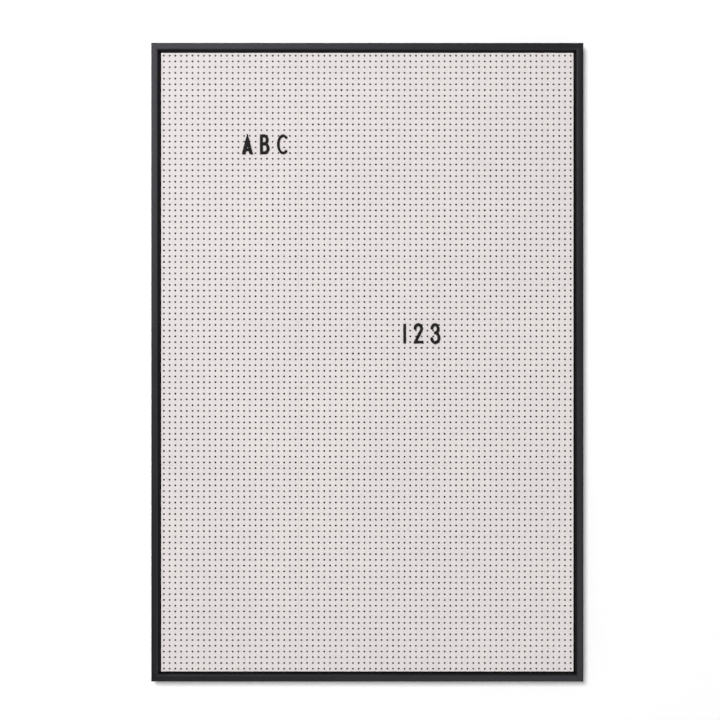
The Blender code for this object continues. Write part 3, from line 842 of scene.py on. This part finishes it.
def draw_a(size):
    """Pointed A with a low crossbar."""
    bottom = -size.cap_height / 2
    top = size.cap_height / 2 + size.overshoot
    bar_bottom = bottom + A_BAR_HEIGHT
    bar_top = bar_bottom + LIGHT_STROKE * size.stroke
    lean = (A_HALF_FOOT - A_HALF_APEX) / (top - bottom)
    slant = SLANT_STROKE * size.stroke * math.hypot(1, lean)

    def inner(y):
        return A_HALF_APEX + (top - y) * lean - slant

    outline = [(-A_HALF_FOOT, bottom), (-A_HALF_APEX, top), (A_HALF_APEX, top), (A_HALF_FOOT, bottom),
               (inner(bottom), bottom), (inner(bar_bottom), bar_bottom),
               (-inner(bar_bottom), bar_bottom), (-inner(bottom), bottom)]
    tip = top - (slant - A_HALF_APEX) / lean
    counter = [(-inner(bar_top), bar_top), (0, tip), (inner(bar_top), bar_top)]
    return [[(x + A_MIDDLE, y) for x, y in loop] for loop in (outline, counter)]


def draw_b(size):
    """B with a straight stem and two bowls."""
    half = size.cap_height / 2
    stroke = size.stroke
    turn = B_LEFT + B_TURN
    upper = (B_LEFT + B_UPPER_WIDTH - turn - stroke / 2, (half - B_WAIST) / 2 - stroke / 4)
    lower = (B_LEFT + B_LOWER_WIDTH - turn - stroke / 2, (half + B_WAIST) / 2 - stroke / 4)
    upper_centre = (turn, half - stroke / 2 - upper[1])
    lower_centre = (turn, -half + stroke / 2 + lower[1])
    outline = [(B_LEFT, -half), (B_LEFT, half)]
    outline += edges_of(upper_centre, upper, 90, B_UPPER_END, stroke)[0]
    outline += edges_of(lower_centre, lower, B_LOWER_START, -90, stroke)[0]
    loops = [outline]
    for centre, radii in ((upper_centre, upper), (lower_centre, lower)):
        bowl = edges_of(centre, radii, 90, -90, stroke)[1]
        stem = B_LEFT + stroke
        loops.append([(stem, bowl[0][1])] + bowl + [(stem, bowl[-1][1])])
    return loops


def draw_c(size):
    """Narrow open C with round ends."""
    width = LIGHT_STROKE * size.stroke
    radii = (C_RADIUS, (size.cap_height - width) / 2)
    start = 360 - C_MOUTH
    outer, inner = edges_of((C_MIDDLE, 0), radii, start, C_MOUTH, width)
    last = round_end(halfway(outer[-1], inner[-1]), C_MOUTH, width)
    first = round_end(halfway(outer[0], inner[0]), start + 180, width)
    return [outer[::-1] + first[::-1] + inner + last[::-1]]


def draw_1(size):
    """Plain upright bar."""
    half = size.cap_height / 2 - ONE_CORNER
    side = ONE_STROKE * size.stroke / 2 - ONE_CORNER
    outline = []
    for x, y, start in ((1, 1, 0), (-1, 1, 90), (-1, -1, 180), (1, -1, 270)):
        outline += arc((x * side, y * half), (ONE_CORNER, ONE_CORNER), start, start + 90)
    return [outline]


def draw_2(size):
    """Hooked 2 with a straight diagonal and a flat foot."""
    stroke = size.stroke
    bottom = -size.cap_height / 2
    centre = (TWO_MIDDLE, size.cap_height / 2 + size.overshoot - stroke / 2 - TWO_RADII[1])
    outer, inner = edges_of(centre, TWO_RADII, TWO_START, TWO_END, stroke)
    hook_middle = TWO_MIDDLE - TWO_RADII[0]
    left = hook_middle - stroke / 2
    right = left + TWO_WIDTH
    foot_top = bottom + FOOT_STROKE * stroke
    hook = round_end((hook_middle, outer[0][1]), 0, stroke)
    foot = [(left + TWO_FOOT_JOIN * stroke, foot_top), (right, foot_top), (right, bottom),
            (left, bottom), (left, foot_top - TWO_NECK)]
    return [outer + foot + inner[::-1] + hook]


def draw_3(size):
    """3 made of two open bowls that meet at a short waist."""
    stroke = size.stroke
    half = size.cap_height / 2 + size.overshoot
    upper_centre = (THREE_UPPER_MIDDLE, half - stroke / 2 - THREE_UPPER_RADII[1])
    lower_centre = (THREE_LOWER_MIDDLE, -half + stroke / 2 + THREE_LOWER_RADII[1])
    rims = []
    for side, (upper_end, lower_start) in enumerate((THREE_OUTER_WAIST, THREE_INNER_WAIST)):
        rims.append(edges_of(upper_centre, THREE_UPPER_RADII, THREE_NOSE, upper_end, stroke)[side])
        rims.append(edges_of(lower_centre, THREE_LOWER_RADII, lower_start, THREE_TAIL, stroke)[side])
    upper_outer, lower_outer, upper_inner, lower_inner = rims
    waist_x = upper_centre[0] - THREE_WAIST
    waist_y = (upper_inner[-1][1] + lower_inner[0][1]) / 2
    waist = [(waist_x, waist_y - stroke / 2), (waist_x, waist_y + stroke / 2)]
    tail = round_end(halfway(lower_outer[-1], lower_inner[-1]), THREE_TAIL, stroke)
    nose = round_end(halfway(upper_outer[0], upper_inner[0]), THREE_NOSE - 180, stroke)
    return [upper_outer + lower_outer + tail + lower_inner[::-1] + waist + upper_inner[::-1] + nose]


# Node, drawing, place on the peg grid, and the pins about that place in columns and rows
CHARACTERS = (
    ("letter_a", draw_a, 14.5, 15.5, ((-0.5, 1.5), (0.5, 1.5))),
    ("letter_b", draw_b, 17, 15.5, ((0, -1.5), (0, 1.5))),
    ("letter_c", draw_c, 21, 15.5, ((0, -1.5), (0, 1.5))),
    ("digit_1", draw_1, 42, 48.5, ((0, -1.5), (0, 1.5))),
    ("digit_2", draw_2, 44, 48.5, ((0, -1.5), (1, 1.5))),
    ("digit_3", draw_3, 47, 48.5, ((0, -1.5), (0, 1.5))),
)


def make_character(name, loops, size):
    """Fill an outline, give it thickness and round its edges, lying flat about the origin."""
    outline = bpy.data.curves.new(name, "CURVE")
    outline.dimensions = "2D"
    outline.fill_mode = "BOTH"
    outline.extrude = size.thickness / 2
    for loop in loops:
        spline = outline.splines.new("POLY")
        spline.points.add(len(loop) - 1)
        for point, (x, y) in zip(spline.points, loop):
            point.co = (x, y, 0, 1)
        spline.use_cyclic_u = True
    piece = bpy.data.objects.new(name, outline)
    bpy.context.scene.collection.objects.link(piece)
    pick(piece)
    bpy.ops.object.convert(target="MESH")
    piece = bpy.context.active_object
    edit(piece)
    choose_all()
    bpy.ops.mesh.remove_doubles(threshold=OUTLINE_MERGE)
    bpy.ops.mesh.dissolve_limited(angle_limit=OUTLINE_FLAT)
    bpy.ops.mesh.normals_make_consistent(inside=False)
    leave()
    soften(piece, size.edge_round, CORNER_ANGLE, CHARACTER_STEPS)
    return piece


def add_pin(piece, x, y, radius, root, tip):
    """Join one round pin with a softened tip to a character that lies flat."""
    deselect()
    bpy.ops.mesh.primitive_cylinder_add(vertices=PIN_SIDES, radius=radius, depth=root - tip,
                                        location=(x, y, (root + tip) / 2))
    pin = bpy.context.active_object
    settle(pin)
    edit(pin)
    choose(pin, lambda place: place.z < tip + EPSILON)
    bpy.ops.mesh.bevel(offset=radius * PIN_TIP, segments=EDGE_STEPS, affect="EDGES")
    leave()
    combine(piece, "UNION", pin)


class LETTERBOARD_OT_characters(bpy.types.Operator):
    """Draw the letters and digits with rounded edges and pins"""
    bl_idname = "letterboard.characters"
    bl_label = "Letters and digits"

    def execute(self, context):
        settings = context.scene.letter_board
        size = settings.character
        tile = settings.tile
        material = character_plastic(size)
        half_x, half_z = half_field(tile)
        for node, draw, column, row, pins in CHARACTERS:
            low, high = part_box(node)
            piece = make_character(node, draw(size), size)
            tip = low.y + size.thickness / 2 - high.y
            for across, down in pins:
                add_pin(piece, across * tile.pitch, -down * tile.pitch, size.pin_radius, 0.0, tip)
            smooth(piece, EDGE_ANGLE)
            x = (column + 0.5) * tile.pitch - half_x
            z = half_z - (row + 0.5) * tile.pitch
            piece.rotation_euler = (QUARTER_TURN, 0, 0)
            piece.location = (x, low.y + size.thickness / 2, z)
            settle(piece)
            stand_in(piece, node, material)
        return {"FINISHED"}


# Screws and bumpers, each modelled once along z with its rear end up

# Steps round the head of a screw and the rim of a bumper, in degrees
HEAD_ANGLES = (25, 45, 60)
RIM_ANGLES = (0, 22, 45, 68)

# Shares of a radius: the flat top of a head, the end of a point, the flat top of a bumper
HEAD_TOP = 0.3
POINT_END = 0.1
BUMPER_TOP = 0.8

# Shares of other sizes: a set screw's chamfer, a bumper's rise, the rounding of turned pieces
SET_CHAMFER = 0.125
BUMPER_RISE = 0.1
TURNED_ROUND = 1 / 3
HEXAGON = 6


def facing_back(piece, edge_round):
    """Round the edges of a turned piece and turn its top to the rear."""
    soften(piece, edge_round * TURNED_ROUND)
    piece.rotation_euler = (-QUARTER_TURN, 0, 0)
    settle(piece)
    smooth(piece)
    return piece


def make_panel_screw(size, height):
    """Pan head screw with a cross recess; its point is at z = 0."""
    seat = height - size.head_height
    crown = size.head_height - size.head_edge
    rings = [(size.shank_radius * POINT_END, 0.0), (size.shank_radius, size.point),
             (size.shank_radius, seat), (size.head_radius, seat),
             (size.head_radius, seat + size.head_edge)]
    for angle in HEAD_ANGLES:
        turn = math.radians(angle)
        rings.append((size.head_radius * math.cos(turn),
                      seat + size.head_edge + crown * math.sin(turn)))
    rings.append((size.head_radius * HEAD_TOP, height))
    screw = raised(rings, size.turned_sides)
    for across, down in ((size.cross_length, size.cross_width), (size.cross_width, size.cross_length)):
        combine(screw, "DIFFERENCE", block((across, down, 2 * size.cross_depth), (0, 0, height)))
    return facing_back(screw, size.edge_round)


def make_set_screw(size, height):
    """Headless screw with a hexagon socket."""
    chamfer = size.set_radius * SET_CHAMFER
    screw = raised([(size.set_radius - chamfer, 0.0), (size.set_radius, chamfer),
                    (size.set_radius, height - chamfer), (size.set_radius - chamfer, height)],
                   size.turned_sides)
    combine(screw, "DIFFERENCE", raised([(size.socket_radius, height - size.socket_depth),
                                         (size.socket_radius, height + size.socket_depth)], HEXAGON))
    return facing_back(screw, size.edge_round)


def make_bumper(size, height):
    """Low rubber dome with a rounded rim."""
    core = size.bumper_radius - size.bumper_round
    rings = [(size.bumper_radius, 0.0)]
    for angle in RIM_ANGLES:
        turn = math.radians(angle)
        rings.append((core + size.bumper_round * math.cos(turn),
                      height - size.bumper_round * (1 - math.sin(turn) + BUMPER_RISE)))
    rings.append((core * BUMPER_TOP, height))
    return facing_back(raised(rings, size.turned_sides), size.edge_round)


def set_in_place(make, size, nodes, material):
    """Model one piece of a kind and set a copy in the place of each node."""
    low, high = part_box(nodes[0])
    first = make(size, high.y - low.y)
    for node in nodes:
        copy_to(first, node, front_of(node), material)
    bpy.data.objects.remove(first, do_unlink=True)


class LETTERBOARD_OT_hardware(bpy.types.Operator):
    """Finish the back board, corner keys, hangers, screws and bumpers"""
    bl_idname = "letterboard.hardware"
    bl_label = "Back and hardware"

    def execute(self, context):
        size = context.scene.letter_board.hardware
        zinc = zinc_plate(size)
        soften_node("back_board", size.edge_round, hardboard(size))
        for node in ["hanger_left", "hanger_right"] + [f"corner_key_{corner}" for corner in CORNERS]:
            soften_node(node, size.edge_round, zinc)
        set_in_place(make_panel_screw, size,
                     [f"panel_screw_{side}_{end}" for side in SIDES for end in "ab"], zinc)
        set_in_place(make_set_screw, size,
                     [f"key_screw_{corner}_{end}" for corner in CORNERS for end in "ab"], zinc)
        set_in_place(make_bumper, size, [f"bumper_{corner}" for corner in CORNERS],
                     bumper_rubber(size))
        return {"FINISHED"}


# Stage

# Brightness of the wall: to the eye, to other surfaces, and its own glow, which keeps it white
WALL_SEEN = 0.9
WALL_BOUNCE = 0.35
WALL_GLOW = 0.19
WALL_GAP = 0.0002
COVE_STEPS = 12
COVE_ANGLE = math.radians(30)
SENSOR_WIDTH = 36.0


def wall_paint():
    """White wall and floor that keep shadows, stay white to the eye and hide nothing from behind."""
    shader = Shader("studio_white")
    nodes = shader.tree.nodes
    path = nodes.new("ShaderNodeLightPath")
    geometry = nodes.new("ShaderNodeNewGeometry")
    seen = shader.maths("MAXIMUM", path.outputs["Is Camera Ray"], path.outputs["Is Glossy Ray"])
    seen = shader.maths("MAXIMUM", seen, path.outputs["Is Transmission Ray"])
    paint = shader.blend(seen, (WALL_BOUNCE,) * 3, (WALL_SEEN,) * 3)
    shader.link(paint, shader.principled.inputs["Base Color"])
    shader.set(Roughness=0.9, Specular_IOR_Level=0.0, Emission_Color=(1.0, 1.0, 1.0))
    glow = shader.maths("MULTIPLY", seen, WALL_GLOW)
    shader.link(glow, shader.principled.inputs["Emission Strength"])
    clear = nodes.new("ShaderNodeBsdfTransparent")
    choice = nodes.new("ShaderNodeMixShader")
    hidden = shader.maths("MAXIMUM", geometry.outputs["Backfacing"], path.outputs["Is Shadow Ray"])
    shader.link(hidden, choice.inputs["Fac"])
    shader.link(shader.principled.outputs["BSDF"], choice.inputs[1])
    shader.link(clear.outputs["BSDF"], choice.inputs[2])
    shader.link(choice.outputs["Shader"], nodes["Material Output"].inputs["Surface"])
    return shader.material


def make_world(fill):
    """Even light from all around, white where it is seen."""
    world = bpy.data.worlds.new("studio")
    bpy.context.scene.world = world
    world.use_nodes = True
    nodes = world.node_tree.nodes
    links = world.node_tree.links
    light = nodes["Background"]
    light.inputs["Color"].default_value = (1.0, 1.0, 1.0, 1.0)
    path = nodes.new("ShaderNodeLightPath")
    strength = nodes.new("ShaderNodeMapRange")
    strength.inputs["To Min"].default_value = fill
    strength.inputs["To Max"].default_value = 1.0
    links.new(path.outputs["Is Camera Ray"], strength.inputs["Value"])
    links.new(strength.outputs["Result"], light.inputs["Strength"])


def add_area_light(name, place, strength, side):
    """A soft square light that points at the origin."""
    deselect()
    bpy.ops.object.light_add(type="AREA", location=place)
    lamp = bpy.context.active_object
    lamp.name = name
    lamp.data.energy = strength
    lamp.data.shape = "SQUARE"
    lamp.data.size = side
    lamp.rotation_euler = (-Vector(place)).to_track_quat("-Z", "Y").to_euler()
    return lamp


class LETTERBOARD_OT_stage(bpy.types.Operator):
    """Set up the wall, floor, lights and camera"""
    bl_idname = "letterboard.stage"
    bl_label = "Stage"

    def execute(self, context):
        size = context.scene.letter_board.stage
        low, high = cad_bounds
        wall_y = high[1] + WALL_GAP
        deselect()
        bpy.ops.mesh.primitive_plane_add(size=2 * size.reach,
                                         location=(0, wall_y - size.reach, -size.floor_drop))
        stage = context.active_object
        stage.name = "studio_floor_and_wall"
        settle(stage)
        edit(stage)
        choose(stage, lambda place: place.y > wall_y - EPSILON)
        extrude(z=size.floor_drop + size.reach)
        choose(stage, lambda place: place.y > wall_y - EPSILON and place.z < EPSILON - size.floor_drop)
        bpy.ops.mesh.bevel(offset=size.cove, segments=COVE_STEPS, affect="EDGES")
        leave()
        smooth(stage, COVE_ANGLE)
        stage.data.materials.append(wall_paint())
        make_world(size.fill)
        add_area_light("key_light", size.key_place, size.key_power, size.key_size)
        card = add_area_light("sheen_card", size.sheen_place, size.sheen_power, size.sheen_size)
        card.visible_diffuse = False
        add_area_light("back_light", size.back_place, size.back_power, size.back_size)
        distance = size.focal_length / SENSOR_WIDTH * size.view_width
        camera_data = bpy.data.cameras.new("camera")
        camera_data.lens = size.focal_length
        camera_data.sensor_width = SENSOR_WIDTH
        camera = bpy.data.objects.new("camera", camera_data)
        camera.location = (size.off_centre[0], low[1] - distance, size.off_centre[1])
        camera.rotation_euler = (QUARTER_TURN, 0, 0)
        context.scene.collection.objects.link(camera)
        context.scene.camera = camera
        context.scene.view_settings.view_transform = "Standard"
        return {"FINISHED"}


class LETTERBOARD_PT_panel(bpy.types.Panel):
    """Letter board tools"""
    bl_idname = "LETTERBOARD_PT_panel"
    bl_label = "Letter board"
    bl_space_type = "VIEW_3D"
    bl_region_type = "UI"
    bl_category = "Letter board"

    def draw(self, context):
        settings = context.scene.letter_board
        for group in ("tile", "frame", "character", "hardware", "stage"):
            box = self.layout.box()
            box.label(text=group.capitalize())
            values = getattr(settings, group)
            for key in values.__annotations__:
                box.prop(values, key)
        for operator in STEPS:
            self.layout.operator(operator.bl_idname)


STEPS = (
    LETTERBOARD_OT_tiles,
    LETTERBOARD_OT_frame,
    LETTERBOARD_OT_characters,
    LETTERBOARD_OT_hardware,
    LETTERBOARD_OT_stage,
)
CLASSES = (
    TileSettings,
    FrameSettings,
    CharacterSettings,
    HardwareSettings,
    StageSettings,
    LetterBoardSettings,
) + STEPS + (LETTERBOARD_PT_panel,)


def register():
    """Add the classes and the settings to Blender."""
    for item in CLASSES:
        bpy.utils.register_class(item)
    bpy.types.Scene.letter_board = PointerProperty(type=LetterBoardSettings)


def unregister():
    """Take the classes and the settings out again."""
    del bpy.types.Scene.letter_board
    for item in reversed(CLASSES):
        bpy.utils.unregister_class(item)


def main():
    """Build every piece in order."""
    register()
    bpy.ops.letterboard.tiles()
    bpy.ops.letterboard.frame()
    bpy.ops.letterboard.characters()
    bpy.ops.letterboard.hardware()
    bpy.ops.letterboard.stage()


if __name__ == "__main__":
    main()
